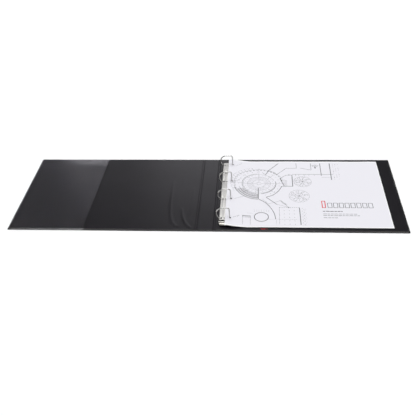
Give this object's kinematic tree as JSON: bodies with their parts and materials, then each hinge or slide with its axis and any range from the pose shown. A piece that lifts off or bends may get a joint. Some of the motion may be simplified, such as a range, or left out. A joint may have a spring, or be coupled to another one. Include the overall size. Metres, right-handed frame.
{
  "type": "ring binder",
  "caption": "A3 landscape ring binder lying open: black foil covers, D-ring mechanism with one opening lever, clear pocket, filed sheets.",
  "frame": {"origin": "on the resting surface, below the middle of the open spine", "axes": "+X across the open binder from front cover to back cover, +Y up the page to the end away from the lever, +Z out of the lining"},
  "size_m": [1.014, 0.325, 0.0434],
  "materials": {
    "greyboard": "matte",
    "cover_foil": "fine leather grain, matte black",
    "lining_foil": "satin black",
    "clear_film": "clear glossy film",
    "housing_steel": "satin nickel plate",
    "ring_wire": "nickel plated wire",
    "plate_steel": "satin nickel plate",
    "rivet_steel": "satin nickel plate",
    "lever_steel": "polished nickel plate",
    "paper": "matte white",
    "printed_paper": "matte white with a fine line drawing"
  },
  "bodies": {
    "back_cover": {"back_board": "greyboard", "back_outer_foil": "cover_foil", "back_inner_foil": "lining_foil", "mechanism_housing": "housing_steel", "housing_rivets": "rivet_steel", "lever_pin": "rivet_steel"},
    "spine": {"spine_board": "greyboard", "spine_outer_foil": "cover_foil", "spine_inner_foil": "lining_foil", "front_hinge_foil": "cover_foil", "back_hinge_foil": "cover_foil"},
    "front_cover": {"front_board": "greyboard", "front_outer_foil": "cover_foil", "front_inner_foil": "lining_foil", "pocket_film": "clear_film"},
    "left_rings": {"left_hinge_plate": "plate_steel", "bulged_ring_half_1": "ring_wire", "bulged_ring_half_2": "ring_wire", "bulged_ring_half_3": "ring_wire", "bulged_ring_half_4": "ring_wire"},
    "right_rings": {"right_hinge_plate": "plate_steel", "straight_ring_half_1": "ring_wire", "straight_ring_half_2": "ring_wire", "straight_ring_half_3": "ring_wire", "straight_ring_half_4": "ring_wire"},
    "lever": {"opening_lever": "lever_steel"},
    "lower_sheets": {"sheet_stack": "paper"},
    "middle_sheets": {"upper_sheets": "paper"},
    "printed_sheet": {"top_sheet": "printed_paper"}
  },
  "joints": [
    {"name": "spine_hinge", "type": "hinge", "parent": "back_cover", "child": "spine", "pos_m": [0.023, 0, 0.00135], "axis": [0, -1, 0], "range_deg": [-90, 0], "deforming": ["back_hinge_foil"]},
    {"name": "front_cover_hinge", "type": "hinge", "parent": "spine", "child": "front_cover", "pos_m": [-0.023, 0, 0.00135], "axis": [0, -1, 0], "range_deg": [-90, 0], "deforming": ["front_hinge_foil"]},
    {"name": "left_rings_open", "type": "hinge", "parent": "back_cover", "child": "left_rings", "pos_m": [0.03605, 0, 0.005], "axis": [0, -1, 0], "range_deg": [0, 16]},
    {"name": "right_rings_open", "type": "hinge", "parent": "back_cover", "child": "right_rings", "pos_m": [0.05195, 0, 0.005], "axis": [0, 1, 0], "range_deg": [0, 16]},
    {"name": "lever_turn", "type": "hinge", "parent": "back_cover", "child": "lever", "pos_m": [0.044, -0.131, 0.0063], "axis": [1, 0, 0], "range_deg": [0, 12]},
    {"name": "sheets_shift", "type": "slide", "parent": "back_cover", "child": "lower_sheets", "axis": [1, 0, 0], "range_m": [0, 0.0019]},
    {"name": "upper_sheets_lift", "type": "hinge", "parent": "lower_sheets", "child": "middle_sheets", "pos_m": [0.05, 0, 0.0131], "axis": [0, -1, 0], "range_deg": [0, 7]},
    {"name": "top_sheet_lift", "type": "hinge", "parent": "middle_sheets", "child": "printed_sheet", "pos_m": [0.05, 0, 0.0135], "axis": [0, -1, 0], "range_deg": [0, 5]}
  ],
  "couplings": [
    {"joint": "right_rings_open", "follows": "left_rings_open", "ratio": 1},
    {"joint": "lever_turn", "follows": "left_rings_open", "ratio": 0.75},
    {"joint": "sheets_shift", "follows": "left_rings_open", "m_per_rad": 0.006803}
  ]
}
